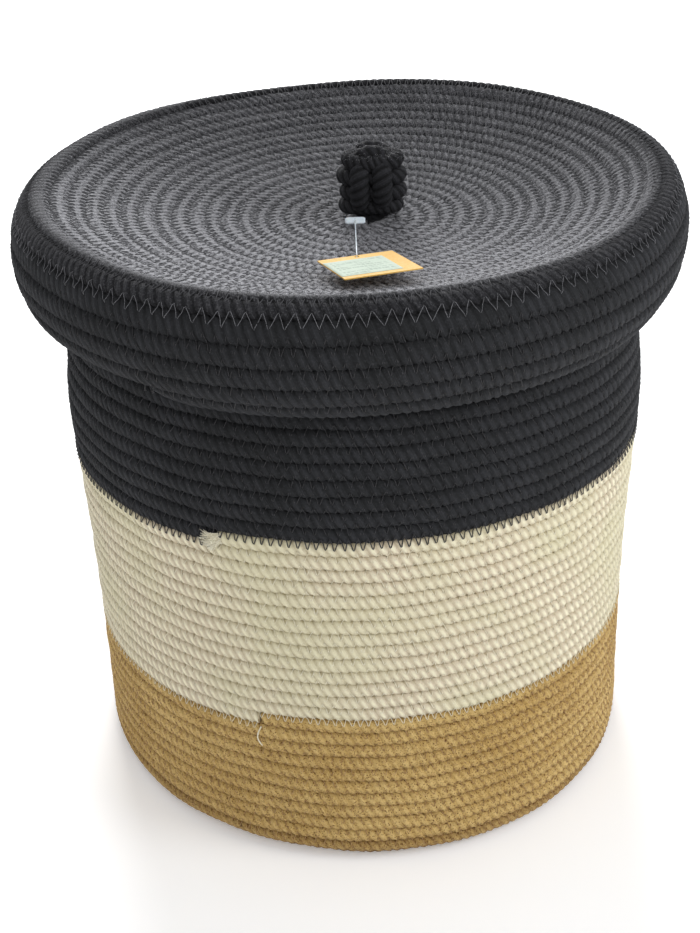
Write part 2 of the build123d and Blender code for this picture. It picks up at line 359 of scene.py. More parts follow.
rope = {
    "thickness": 0.0085, "squash": 1.19,  # how far a turn presses into its neighbours
    "flatness": 3.0,  # 2 is a round section, more is a squarer one
    "lay": 0.0160,  # the length in which a strand goes once round
    "strands": 3, "strandDepth": 0.34,
    "strandOut": 0.46,  # middle of a strand from the middle of the rope, of the rope's radius
    "ring": 0.0020, "sides": 12, "tipSize": 0.08, "footShadeHeight": 0.009, "footShadeFade": 0.003,
}


def strandOutline(angle):
    # three strands seen end on, softened as yarn is
    step, out = math.pi / rope["strands"], rope["strandOut"]
    near = np.mod(angle + step, fullTurn / rope["strands"]) - step
    strand = 1 - out
    edge = out * np.cos(near) + np.sqrt(strand ** 2 - (out * np.sin(near)) ** 2)
    return 1 - rope["strandDepth"] * (1 - edge)


lidDustAndLight = {
    "start": 0.008, "slant": 0.20, "fade": 0.046,  # how the lint and painted light grow from the back of the lid to the front
    "rim": 0.1735, "rimFade": 0.0022, "lowest": 0.3,
}


def dustAndLightAt(points):
    # a share that grows towards the front of the lid's dish, a little more to the left, and fades out
    # before its rim: partly real lint, partly painted light where the back light brightens the dish
    x, y, z = points[..., 0], points[..., 1], points[..., 2]
    front = 1 / (1 + np.exp((y + lidDustAndLight["slant"] * x + lidDustAndLight["start"]) / lidDustAndLight["fade"]))
    inside = 1 / (1 + np.exp((np.hypot(x, y) - lidDustAndLight["rim"]) / lidDustAndLight["rimFade"]))
    return front * inside * (z > lidDustAndLight["lowest"])


def layRope(name, coil, first, last, finish, blunt=0.0, section=rope):
    # one stretch of the coil's rope, with blunt the length over which its last end rounds off
    start, stop = coil.lengthAt(first), coil.lengthAt(last)
    length = np.linspace(start, stop, int((stop - start) / section["ring"]) + 1)
    turn = coil.turnAt(length)
    base = np.arange(section["sides"]) * fullTurn / section["sides"]
    outline = strandOutline(base)
    angle = base + (length * fullTurn / section["lay"] * -coil.outward)[:, None]
    halfWidth = np.linalg.norm(curveThrough(coil.profile, turn)[1], axis=-1) / 2 * section["squash"]
    size = np.ones(len(length))
    if blunt:
        left = np.clip((stop - length) / blunt, 0, 1)
        size = np.maximum(np.sqrt(1 - (1 - left) ** 2), section["tipSize"])
    across, out, power = np.cos(angle), np.sin(angle), section["flatness"]
    full = outline / (np.abs(across) ** power + np.abs(out) ** power) ** (1 / power)
    width = full * across * (halfWidth * size)[:, None]
    depth = full * out * size[:, None] * section["thickness"] / 2
    points = coil.at(turn[:, None], turn[:, None], depth, width)
    whole = np.ones_like(angle)
    # painted shade: the rope darkens near the floor, where it lies in shadow
    nearFloor = (points[..., 2] - section["footShadeHeight"]) / section["footShadeFade"]
    marks = {
        "ropePlace": np.stack([length[:, None] * whole, whole * np.cos(base) * section["thickness"] / 2,
                               whole * np.sin(base) * section["thickness"] / 2], axis=-1).reshape(-1, 3),
        "valley": ((1 - outline) / (1 - outline.min()) * whole).ravel(),
        "seam": (np.abs(np.cos(angle)) ** 3).ravel(),
        "dustAndLight": dustAndLightAt(points).ravel(),
        "paintedFootShade": (1 / (1 + np.exp(nearFloor))).ravel(),
    }
    faces = tubeFaces(len(length), section["sides"], inward=coil.outward < 0)
    return buildPiece(name, points.reshape(-1, 3), faces, marks, finish)


def stitchGroove(name, coil, first, last, finish, look, face=1):
    # a zigzag that ties each turn to the next: its points sink into the middle of both ropes,
    # and face is 1 for the coil's outer side, -1 for its inner side
    start, stop = coil.lengthAt(first), coil.lengthAt(last)
    legs = int((stop - start) / look["leg"])
    spots = np.linspace(start, stop, legs + 1)
    spots[1:-1] += chance.normal(0, look["leg"] * look["jitter"], legs - 1)
    turn = coil.turnAt(spots)
    reach = look["reach"] + chance.normal(0, look["jitter"] * look["waver"], legs + 1)
    reach[1::2] *= -1
    part = np.array(look["bends"])
    turns = (turn[:-1, None] + np.diff(turn)[:, None] * part).ravel()
    offset = (reach[:-1, None] + np.diff(reach)[:, None] * part).ravel()
    half = rope["thickness"] / 2
    lift = np.tile([half * look["sink"], half * look["bend"] + look["radius"],
                    half * look["bridge"], half * look["bend"] + look["radius"]], legs)
    turns, offset = np.append(turns, turn[-1]), np.append(offset, reach[-1])
    lift = np.append(lift, half * look["sink"]) * face
    path = coil.at(turns + 0.5 + offset, turns, lift)
    facing = coil.at(turns + 0.5 + offset, turns, lift + half) - path
    points, faces = thinTubes(path[None], np.full((1, len(path)), look["radius"]), 4, facing[None])
    return buildPiece(name, points, faces, None, finish)


# sink, bend and bridge are heights, of half the rope: in the hole, on its shoulder, over the groove
stitch = {
    "leg": 0.0026, "reach": 0.42, "radius": 0.00024, "jitter": 0.12, "waver": 0.15,
    "sink": 0.85, "bend": 0.90, "bridge": 0.58, "bends": (0, 0.16, 0.5, 0.84),
}

# sizes of the solids' boxes, less a little where the rope wavers
body = {
    "thickness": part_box("base_rope")[1].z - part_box("base_rope")[0].z,
    "baseRadius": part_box("base_rope")[1].x - 0.0008, "baseTurns": 18, "firstTurn": 0.55,
    "footRadius": 0.172, "footTop": 0.0105,
    "bellyRadius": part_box("cream_wall_rope")[1].x, "bellyHeight": 0.160,
    "mouthRadius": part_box("mouth_turn")[1].x - 0.0005, "mouthPower": 1.7,
    "mouthTop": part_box("mouth_turn")[1].z, "mouthDrop": 0.0055,
    "tanTop": (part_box("tan_wall_rope")[1].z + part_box("cream_wall_rope")[0].z) / 2, "tanTurns": 10,
    "creamTop": (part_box("cream_wall_rope")[1].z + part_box("black_wall_rope")[0].z) / 2, "creamTurns": 14,
    "blackTurns": 14,
    "creamEndAngle": 243.0, "tanEndAngle": 249.0,  # from above, where the two ropes' ends are laid down
    "unevenness": 0.00035, "outOfRound": (0.0020, 0.0015), "ripple": 0.0003,
    # how far the wall stands out of its true line at each height
    "waistHeights": (0.0, 0.02, 0.05, 0.105, 0.16, 0.20, 0.25, 0.30, 0.36),
    "waistGrowth": (0.0, -0.0002, -0.0016, -0.0030, -0.0026, -0.0002, 0.0042, 0.0025, 0.0),
    "footSkew": 0.0035, "skewHeight": 0.14, "lean": 0.0005, "leanHeight": 0.1,
}


def wallRadius(height):
    belly, low = body["bellyRadius"], body["bellyHeight"]
    if height < low:
        return belly - (belly - body["footRadius"]) * ((low - height) / low) ** 2
    rise = (height - low) / (body["mouthTop"] - low)
    return belly - (belly - body["mouthRadius"]) * rise ** body["mouthPower"]


def settleBody(points):
    # a soft basket never stands quite round
    x, y, z = points[..., 0], points[..., 1], points[..., 2]
    angle = np.arctan2(y, x)
    wide, small = body["outOfRound"]
    swell = 1 + wide * np.sin(3 * angle + 9 * z) + small * np.sin(5 * angle - 14 * z + 1)
    reach = np.clip(np.hypot(x, y) / body["mouthRadius"], 0, 1)
    grow = np.interp(z, body["waistHeights"], body["waistGrowth"]) * reach
    foot = np.clip(1 - z / body["skewHeight"], 0, 1)
    grow -= body["footSkew"] * np.sin(2 * angle) * foot ** 1.5 * reach ** 2
    swell += grow / np.maximum(np.hypot(x, y), 0.01)
    lean = body["lean"] * np.clip(z / body["leanHeight"], 0, 1)
    ripple = body["ripple"] * np.sin(17 * angle + 60 * z)
    return np.stack([x * swell + lean, y * swell, np.maximum(z + ripple, 0)], axis=-1)


def wallProfile():
    # radius and height of each turn: the flat base, the three bands and the mouth
    half, rounds = body["thickness"] / 2, body["baseTurns"]
    points = [(body["baseRadius"] * turn / rounds, half) for turn in range(rounds + 1)]
    low = body["footTop"]
    for top, turns in ((body["tanTop"], body["tanTurns"]), (body["creamTop"], body["creamTurns"]),
                       (body["mouthTop"] - body["mouthDrop"], body["blackTurns"])):
        points += [(wallRadius(low + (top - low) * row / turns) - half, low + (top - low) * row / turns)
                   for row in range(turns)]
        low = top
    pitch = (low - body["creamTop"]) / body["blackTurns"]
    return points + [(wallRadius(low) - half, low), (wallRadius(low + pitch) - half, low + pitch)]


footTurn = body["baseTurns"]
tanTurn = footTurn + 1
creamTurn = tanTurn + body["tanTurns"]
blackTurn = creamTurn + body["creamTurns"]
mouthTurn = blackTurn + body["blackTurns"]
bodyCoil = Coil(wallProfile(), 1, body["creamEndAngle"], body["unevenness"], settleBody)
tanStop = creamTurn - (body["tanEndAngle"] - body["creamEndAngle"]) / 360
mouthStart, bodyStop = mouthTurn - 0.9, mouthTurn + 0.1


def onBody(piece, slot, *nodes):
    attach(piece, "hamper")
    if nodes:
        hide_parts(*nodes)
    return piece


onBody(layRope("base_coil", bodyCoil, body["firstTurn"], footTurn, tanRope), "tan_rope", "base_rope")
onBody(layRope("foot_coil", bodyCoil, footTurn, tanTurn, tanRope), "tan_rope", "foot_turn")
onBody(layRope("tan_coil", bodyCoil, tanTurn, tanStop, tanRope, blunt=0.004), "tan_rope",
       "tan_wall_rope", "tan_rope_end")
onBody(layRope("cream_coil", bodyCoil, tanStop, blackTurn, creamRope, blunt=0.007), "cream_rope",
       "cream_wall_rope")
onBody(layRope("black_coil", bodyCoil, blackTurn - 0.002, mouthStart, blackRope), "black_rope",
       "black_wall_rope")
onBody(layRope("mouth_coil", bodyCoil, mouthStart, bodyStop, blackRope, blunt=0.02), "black_rope",
       "mouth_turn")
print("body ropes laid")

wideStitch = {**stitch, "leg": 0.0030}
joinStitch = {**stitch, "leg": 0.0024, "reach": 0.45, "radius": 0.00032, "bend": 1.0, "bridge": 0.8}
tanJoinStitch = {**joinStitch, "radius": 0.00020, "reach": 0.36, "bend": 0.96}
onBody(stitchGroove("base_stitches", bodyCoil, 1, footTurn - 0.5, tanThread, wideStitch, face=-1),
       "tan_thread", "base_thread")
onBody(stitchGroove("tan_stitches", bodyCoil, footTurn + 0.1, tanStop - 1, tanThread, wideStitch),
       "tan_thread", "tan_thread")
onBody(stitchGroove("tan_join_stitches", bodyCoil, tanStop - 1, tanStop, creamThread, tanJoinStitch),
       "cream_thread", "tan_join_thread")
onBody(stitchGroove("cream_stitches", bodyCoil, tanStop, blackTurn - 1, creamThread, wideStitch),
       "cream_thread", "cream_thread")
onBody(stitchGroove("cream_join_stitches", bodyCoil, blackTurn - 1, blackTurn, blackThread, joinStitch),
       "black_thread", "cream_join_thread")
onBody(stitchGroove("black_stitches", bodyCoil, blackTurn, bodyStop - 1, blackThread, wideStitch),
       "black_thread", "black_thread")
print("body stitched")

lid = {
    "radius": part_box("lid_top_rope")[1].x - 0.0002, "turns": 20, "firstTurn": 0.6,
    "crestHeight": 0.3765, "crestRadius": 0.184, "dishDepth": 0.031, "dishPower": 2.6,
    "skirt": ((0.1872, 0.366), (0.1928, 0.345), (0.181, 0.3135)),  # three places that its arc goes through
    "skirtTurns": 5, "ropeEndAngle": 235.0, "lastTurn": 25.7,
    "unevenness": 0.0003, "waves": (0.0010, 0.0006), "middleShift": 0.011,
    "frontDrop": 0.034, "rightLift": 0.012, "backSwell": 0.040, "backBias": 0.4, "backEdge": 0.09,
}


def dishHeight(radius):
    return lid["crestHeight"] - lid["dishDepth"] * (1 - (radius / lid["crestRadius"]) ** lid["dishPower"])


def settleLid(points):
    # the lid sits a little down at the front, and its middle is drawn over towards the knob
    x, y, z = points[..., 0], points[..., 1], points[..., 2]
    reach = np.clip(np.hypot(x, y) / lid["radius"], 0, 1)
    angle = np.arctan2(y, x)
    shift = lid["middleShift"] * (1 - reach ** 2)
    wide, small = lid["waves"]
    wave = reach ** 3 * (wide * np.sin(2 * angle + 0.6) + small * np.sin(5 * angle + 2))
    back = (np.sin(angle) + np.sqrt(np.sin(angle) ** 2 + lid["backEdge"])) / 2
    right = 1 + lid["backBias"] * np.cos(angle)
    swell = 1 + lid["backSwell"] * back * np.cos(angle) ** 2 * right * reach ** 2
    height = z + lid["frontDrop"] * y + lid["rightLift"] * x + wave
    return np.stack([x * swell + shift, y * swell, height], axis=-1)


def arcMiddle(first, second, third):
    # the middle of the circle through three places
    (ax, ay), (bx, by), (cx, cy) = first, second, third
    return np.linalg.solve([[2 * (bx - ax), 2 * (by - ay)], [2 * (cx - bx), 2 * (cy - by)]],
                           [bx * bx + by * by - ax * ax - ay * ay, cx * cx + cy * cy - bx * bx - by * by])


def lidProfile():
    # radius and height of each turn: the dish, then the skirt's arc
    half = rope["thickness"] / 2
    pitch = lid["radius"] / lid["turns"]
    points = [(pitch * turn, dishHeight(pitch * turn) - half) for turn in range(lid["turns"] + 1)]
    top, low = lid["skirt"][0], lid["skirt"][-1]
    middle = arcMiddle(*lid["skirt"])
    radius = math.hypot(top[0] - middle[0], top[1] - middle[1])
    start = math.atan2(top[1] - middle[1], top[0] - middle[0])
    stop = math.atan2(low[1] - middle[1], low[0] - middle[0])
    for row in range(lid["skirtTurns"] + 1):
        angle = start + (stop - start) * row / lid["skirtTurns"]
        points.append((middle[0] + radius * math.cos(angle), middle[1] + radius * math.sin(angle)))
    return points


lidCoil = Coil(lidProfile(), -1, lid["ropeEndAngle"] + 360 * (lid["lastTurn"] % 1), lid["unevenness"],
               settleLid)
skirtTurn, edgeTurn = lid["turns"] + 1, lid["lastTurn"] - 1
crestSeam, skirtSeam = lid["turns"] + 0.1, skirtTurn + 0.1  # where the thread changes


def onLid(piece, slot, *nodes):
    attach(piece, "lid")
    if nodes:
        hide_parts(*nodes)
    return piece


dishRope = {**rope, "squash": 1.36, "flatness": 3.4}
onLid(layRope("lid_dish_coil", lidCoil, lid["firstTurn"], lid["turns"], lidRopeLintAndLight, section=dishRope),
      "black_rope", "lid_top_rope")
onLid(layRope("lid_crest_coil", lidCoil, lid["turns"], skirtTurn, crestRopeLintAndLight), "black_rope",
      "lid_crest_turn")
onLid(layRope("lid_skirt_coil", lidCoil, skirtTurn, edgeTurn, blackRope), "black_rope",
      "lid_skirt_rope")
onLid(layRope("lid_edge_coil", lidCoil, edgeTurn, lid["lastTurn"], blackRope, blunt=0.03),
      "black_rope", "lid_edge_turn")
dishStitch = {**stitch, "leg": 0.0025, "bend": 0.93, "bridge": 0.80, "jitter": 0.22}
crestStitch = {**stitch, "leg": 0.0038, "reach": 0.33, "bend": 0.98, "bridge": 0.8, "radius": 0.00014,
               "jitter": 0.16}
onLid(stitchGroove("lid_dish_stitches", lidCoil, 1, crestSeam, blackThreadPaintedLight, dishStitch),
      "black_thread", "lid_top_thread")
onLid(stitchGroove("lid_crest_stitches", lidCoil, crestSeam, skirtSeam, blackThreadPaintedHighlight, crestStitch),
      "black_thread", "lid_skirt_thread")
onLid(stitchGroove("lid_skirt_stitches", lidCoil, skirtSeam, edgeTurn, blackThread, wideStitch),
      "black_thread")
print("lid laid and stitched")


def knotTube(path, side, radius, twists, closed):
    # a twisted strand along a path, with side the direction that its section is measured from
    run = np.roll(path, -1, axis=0) - np.roll(path, 1, axis=0)
    if not closed:
        run[0], run[-1] = path[1] - path[0], path[-1] - path[-2]
    run = unit(run)
    side = unit(side - run * np.sum(side * run, axis=-1, keepdims=True))
    lift = np.cross(side, run)
    base = np.arange(rope["sides"]) * fullTurn / rope["sides"]
    part = np.arange(len(path)) / (len(path) if closed else len(path) - 1)
    angle = base + (part * fullTurn * twists)[:, None]
    outline = strandOutline(base)
    points = path[:, None] + radius * outline[:, None] * (
        side[:, None] * np.cos(angle)[..., None] + lift[:, None] * np.sin(angle)[..., None])
    length = np.concatenate([[0], np.cumsum(np.linalg.norm(np.diff(path, axis=0), axis=1))])
    full = np.ones_like(angle)
    marks = {
        "ropePlace": np.stack([length[:, None] * full, full * np.cos(base) * radius,
                               full * np.sin(base) * radius], axis=-1).reshape(-1, 3),
        "valley": ((1 - outline) / (1 - outline.min()) * full).ravel(),
        "seam": np.zeros(angle.size),
        "dustAndLight": np.zeros(angle.size),
        "paintedFootShade": np.zeros(angle.size),
    }
    return points.reshape(-1, 3), tubeFaces(len(path), rope["sides"], closed=closed), marks


def joinTubes(name, tubes, finish):
    # one piece of several closed tubes, each given as its points, faces and marks
    points, groups, marks, shift = [], [], {}, 0
    for part, faces, partMarks in tubes:
        points.append(part)
        groups += [group + shift for group in faces]
        for key, values in partMarks.items():
            marks.setdefault(key, []).append(values)
        shift += len(part)
    marks = {key: np.concatenate(values) for key, values in marks.items()}
    return buildPiece(name, np.concatenate(points), groups, marks, finish)


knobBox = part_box("knob_knot")
knob = {
    "middle": np.array((knobBox[0] + knobBox[1]) / 2) + (0.0014, 0.0, -0.0014),
    "outside": (knobBox[1].x - knobBox[0].x) / 2, "stretch": (1.06, 1.0, 1.0),
    "roundness": 0.028,  # radius of the ball that the outer loops of a band fall back to
    "rings": 96, "twists": 7, "corner": 2.5, "bulge": 0.10, "stagger": 0.0008, "waver": 0.0006,
    # a band's loops are long along one axis and short along another, 0 for x and 2 for z, and lie
    # side by side on the third, moved along it by shift; extra is how much further out they reach
    "bands": (
        {"long": 1, "short": 2, "count": 2, "strand": 0.0060, "spacing": 0.0110, "inner": 0.0124,
         "shift": 0.0, "extra": 0.0},
        {"long": 0, "short": 1, "count": 4, "strand": 0.0047, "spacing": 0.0082, "inner": 0.0092,
         "shift": 0.0, "extra": 0.0},
        {"long": 2, "short": 0, "count": 2, "strand": 0.0050, "spacing": 0.0120, "inner": 0.0100,
         "shift": 0.004, "extra": 0.0030},
    ),
}


def fistKnot():
    # three bands of loops, each outside one of its neighbours and inside the other
    tubes = []
    axes = np.eye(3)
    angle = np.linspace(0, fullTurn, knob["rings"] * 4 + 1)
    for band in knob["bands"]:
        across = 3 - band["long"] - band["short"]
        reach = knob["outside"] - band["strand"]
        for number in range(band["count"]):
            step = (number - (band["count"] - 1) / 2) * band["spacing"]
            drawn = reach * math.sqrt(1 - (step / knob["roundness"]) ** 2) + band["extra"]
            drawn -= knob["stagger"] * (number % 2)
            end = np.tanh(knob["corner"] * np.cos(angle))
            far = band["inner"] * np.cos(angle) + (drawn - band["inner"]) * end
            line = np.outer(far, axes[band["long"]])
            line = line + np.outer(band["inner"] * np.sin(angle), axes[band["short"]])
            bulge = 1 + knob["bulge"] * np.cos(angle) ** 2
            aside = np.outer(step * bulge + band["shift"], axes[across])
            line += aside + chance.normal(0, knob["waver"], 3)
            line *= knob["stretch"]
            length = np.concatenate([[0], np.cumsum(np.linalg.norm(np.diff(line, axis=0), axis=1))])
            even = np.linspace(0, length[-1], knob["rings"] + 1)[:-1]
            path = np.stack([np.interp(even, length, line[:, axis]) for axis in range(3)], axis=-1)
            tubes.append(knotTube(path + knob["middle"], axes[across] + path * 0, band["strand"],
                                  -knob["twists"], True))
    return joinTubes("knob_fist_knot", tubes, knobRope)


stopTie = {"strand": 0.0034, "rings": 144, "twists": -11}


def stopKnot():
    # an overhand knot pulled tight under the lid
    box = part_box("knob_stop_knot")
    middle, size = np.array((box[0] + box[1]) / 2), (box[1] - box[0]) / 2
    angle = np.linspace(0, fullTurn, stopTie["rings"] + 1)[:-1]
    flat = (size.x - stopTie["strand"]) / 3
    path = np.stack([flat * (np.sin(angle) + 2 * np.sin(2 * angle)),
                     flat * (np.cos(angle) - 2 * np.cos(2 * angle)),
                     -(size.z - stopTie["strand"]) * np.sin(3 * angle)], axis=-1) + middle
    up = np.array([0.0, 0.0, 1.0]) + path * 0
    tube = knotTube(path, up, stopTie["strand"], stopTie["twists"], True)
    return joinTubes("knob_stop_knot_tied", [tube], blackRope)


neck = {"spread": 1.5, "overlap": 0.006, "rings": 16, "twists": -1.5}  # slack rope spreads out here


def knobNeck():
    # the rope that joins the knob to the stop knot
    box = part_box("knob_neck")
    middle, radius = (box[0] + box[1]) / 2, (box[1].x - box[0].x) / 2 * neck["spread"]
    height = np.linspace(box[0].z - neck["overlap"], box[1].z + neck["overlap"], neck["rings"])
    path = np.stack([height * 0 + middle.x, height * 0 + middle.y, height], axis=-1)
    side = np.array([1.0, 0.0, 0.0]) + path * 0
    return joinTubes("knob_neck_rope", [knotTube(path, side, radius, neck["twists"], False)], blackRope)


onLid(fistKnot(), "black_rope", "knob_knot")
onLid(stopKnot(), "black_rope", "knob_stop_knot")
onLid(knobNeck(), "black_rope", "knob_neck")
print("knob tied")


def looseFibres(name, roots, outward, count, look, finish):
    # short hairs that stand off a surface, each a closed thin tube
    pick = chance.integers(0, len(roots), count)
    root, out = roots[pick], unit(outward[pick])
    drift = chance.normal(0, 1, (count, 3))
    drift = unit(drift - out * np.sum(drift * out, axis=-1, keepdims=True) * look["flat"])
    length = chance.uniform(*look["length"], count)[:, None]
    curl = unit(chance.normal(0, 1, (count, 3))) * length * look["curl"]
    middle = root + drift * length * 0.5 + out * length * look["rise"] + curl
    tip = root + drift * length + out * length * look["rise"] * 0.6
    paths = np.stack([root, middle, tip], axis=1)
    radii = np.repeat(np.array([[1.0, 0.9, 0.5]]), count, axis=0) * look["radius"]
    points, faces = thinTubes(paths, radii, 3, out[:, None] + chance.normal(0, 0.05, (count, 1, 3)))
    return buildPiece(name, points, faces, None, finish)


def fuzzRoots(coil, first, last, look):
    # places spread evenly over the outer side of the coil, and which way is out
    turn = coil.turnAt(chance.uniform(coil.lengthAt(first), coil.lengthAt(last), look["tries"]))
    along = chance.uniform(-look["across"], look["across"], look["tries"])
    half = rope["thickness"] / 2
    height = half * np.sqrt(1 - (along / look["round"]) ** 2) * look["rooted"]
    root = coil.at(turn + along, turn, height)
    return root, coil.at(turn + along, turn, height + half) - root


lidLint = {
    "length": (0.0012, 0.0036), "rise": 0.20, "curl": 0.22, "radius": 0.000055, "flat": 0.9,
    "tries": 30000, "count": 13000, "everywhere": 0.12,  # the share that lies outside the front's lint and painted light
    "across": 0.42, "round": 0.55, "rooted": 0.96,
}
roots, outward = fuzzRoots(lidCoil, lid["firstTurn"], crestSeam, lidLint)
# more pale lint towards the dish's front, partly real, partly standing in for the light there
share = lidLint["everywhere"] + (1 - lidLint["everywhere"]) * dustAndLightAt(roots)
kept = chance.uniform(0, 1, len(roots)) < share
onLid(looseFibres("lid_lint", roots[kept], outward[kept], lidLint["count"], lidLint, paleLint),
      "black_thread")

knobFuzzAndRimHighlight = {
    "length": (0.0010, 0.0022), "rise": 0.45, "curl": 0.2, "radius": 0.00004, "flat": 0.6,
    "count": 600, "outside": 0.8, "above": 0.012, "forward": 0.4,  # only on the knob's top: real fuzz, kept pale there as a painted rim highlight where the back light falls
}
knotMesh = bpy.data.objects["knob_fist_knot"].data
knotPoints = np.empty(len(knotMesh.vertices) * 3, dtype=np.float32)
knotMesh.vertices.foreach_get("co", knotPoints)
knotPoints = knotPoints.reshape(-1, 3).astype(float)
fromMiddle = knotPoints - knob["middle"]
outer = np.linalg.norm(fromMiddle, axis=1) > knob["outside"] * knobFuzzAndRimHighlight["outside"]
outer &= fromMiddle[:, 2] + knobFuzzAndRimHighlight["forward"] * fromMiddle[:, 1] > knobFuzzAndRimHighlight["above"]
onLid(looseFibres("knob_fuzz_painted_rim_highlight", knotPoints[outer], fromMiddle[outer], knobFuzzAndRimHighlight["count"], knobFuzzAndRimHighlight, paleLint),
      "black_thread")
print("lint and fuzz scattered")


fray = {
    "yarns": 120, "length": (0.008, 0.016), "radius": 0.00027, "gap": 0.006, "width": (-0.32, 0.40),
    "spread": 1.3, "upward": 0.3,  # the fan's angle and how much of it points up, in radians
    "longestAt": 0.3, "shorter": 0.25, "gather": 0.35, "lift": 0.60, "arch": 0.75, "waver": 0.0002,
    "thinning": (1.0, 1.0, 1.0, 0.95, 0.9, 0.8, 0.5),
}


def frayedEnd():
    # the cream rope's cut end: its yarns fan out, most of them down over the turn below
    count = fray["yarns"]
    half = rope["thickness"] / 2
    stop = blackTurn - fray["gap"]
    lean = chance.beta(1.6, 1.2, count) * fray["spread"] - fray["upward"]  # below level
    length = chance.uniform(*fray["length"], count)
    length = length * (1 - fray["shorter"] * np.abs(lean - fray["longestAt"]))
    root = chance.uniform(*fray["width"], count)
    steps = np.linspace(0, 1, len(fray["thinning"]))
    along = (length * np.cos(lean))[:, None] * steps
    down = (length * np.sin(lean))[:, None] * steps ** 1.5 / rope["thickness"]
    turn = stop + along / (fullTurn * body["mouthRadius"])
    row = stop + root[:, None] * (1 - fray["gather"] * steps) - down
    rise = chance.uniform(0.7, 1.0, count)[:, None]
    lift = half * (fray["lift"] + fray["arch"] * rise * np.sin(steps * 2.6))
    lift = lift + chance.normal(0, fray["waver"], (count, 1))
    paths = bodyCoil.at(row, turn, lift)
    facing = bodyCoil.at(row, turn, lift + half) - paths
    radii = np.repeat(np.array([fray["thinning"]]), count, axis=0) * fray["radius"]
    points, faces = thinTubes(paths, radii, 4, facing)
    return buildPiece("cream_rope_fray", points, faces, None, frayThread)


tail = {"gap": 0.002, "turnsDown": 1.6, "sway": 0.0020, "standOff": 1.2, "bow": 0.0016, "wave": 3.0,
        "radius": 0.00042, "rings": 14}


def looseTail():
    # the cream thread's last few millimetres hang free below the tan rope's end
    half = rope["thickness"] / 2
    steps = np.linspace(0, 1, tail["rings"])
    turn = tanStop - tail["gap"] + tail["sway"] * np.sin(steps * tail["wave"])
    row = tanStop - 0.5 - tail["turnsDown"] * steps
    lift = half * tail["standOff"] + tail["bow"] * np.sin(steps * tail["wave"])
    path = bodyCoil.at(row, turn, lift)
    facing = bodyCoil.at(row, turn, lift + half) - path
    points, faces = thinTubes(path[None], np.full((1, len(path)), tail["radius"]), 6, facing[None])
    return buildPiece("loose_thread_tail", points, faces, None, creamThread)


onBody(frayedEnd(), "cream_rope", "cream_rope_end")
onBody(looseTail(), "cream_thread")
print("rope ends frayed")


def cardFinish():
    bench = Bench("orange_card_stock")
    place = bench.place()
    grain = bench.noise(place, 900.0, 3.0)
    patches = bench.noise(place, 40.0, 2.0)
    colour = bench.blend(bench.ease(patches, 0.3, 0.7), paint(226, 178, 88), paint(232, 188, 100))
    colour = bench.blend(bench.ease(grain, 0.4, 0.8) * 0.25, colour, paint(196, 122, 44))
    return bench.finish({"Base Color": colour, "Roughness": bench.ease(grain, 0.3, 0.7, 0.55, 0.7),
                         "Normal": bench.bump(grain, 0.0001, 0.3), "Specular IOR Level": 0.15})


def labelFinish():
    # rows of small grey marks that say nothing, with a clear margin round them
    bench = Bench("printed_paper_label")
    spot = bench.mark("labelPlace", "Vector")
    grain = bench.noise(bench.place(), 900.0, 2.0)
    words = bench.noise(bench.stretch(spot, (900.0, 0.0, 0.0)), 1.0, 1.0)
    lines = bench.noise(bench.stretch(spot, (60.0, 380.0, 0.0)), 1.0, 0.0)
    inside = bench.mark("labelInside")
    printed = bench.ease(lines, 0.48, 0.54) * bench.ease(words, 0.42, 0.5) * inside
    colour = bench.blend(bench.ease(grain, 0.3, 0.7) * 0.5, paint(200, 212, 196), paint(188, 204, 186))
    colour = bench.blend(printed * 0.4, colour, paint(112, 128, 118))
    return bench.finish({"Base Color": colour, "Roughness": bench.ease(grain, 0.3, 0.7, 0.7, 0.85),
                         "Normal": bench.bump(grain, 0.0001, 0.2), "Specular IOR Level": 0.15})


def boxAxes(node):
    # the middle of a flat box that lies aslant, and its three half edges, longest first
    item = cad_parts[node]
    points = np.array([item.matrix_world @ vertex.co for vertex in item.data.vertices])
    middle = (points.min(axis=0) + points.max(axis=0)) / 2
    reach = np.linalg.norm(points - middle, axis=1)
    corner = points[reach > reach.max() * 0.999]
    steps = corner - corner[0]
    lengths = np.linalg.norm(steps, axis=1)
    sameCorner = 0.00002  # corners nearer than this are one corner
    edges = []
    for row in np.argsort(lengths):
        level = all(abs(np.dot(steps[row], edge)) < 0.01 * lengths[row] * np.linalg.norm(edge)
                    for edge in edges)
        if lengths[row] > sameCorner and level and len(edges) < 3:
            edges.append(steps[row])
    return middle, [edge / 2 for edge in sorted(edges, key=np.linalg.norm, reverse=True)]


sticker = {"shift": 0.0033, "rows": 24, "columns": 22, "print": 0.86, "pressed": 0.9}


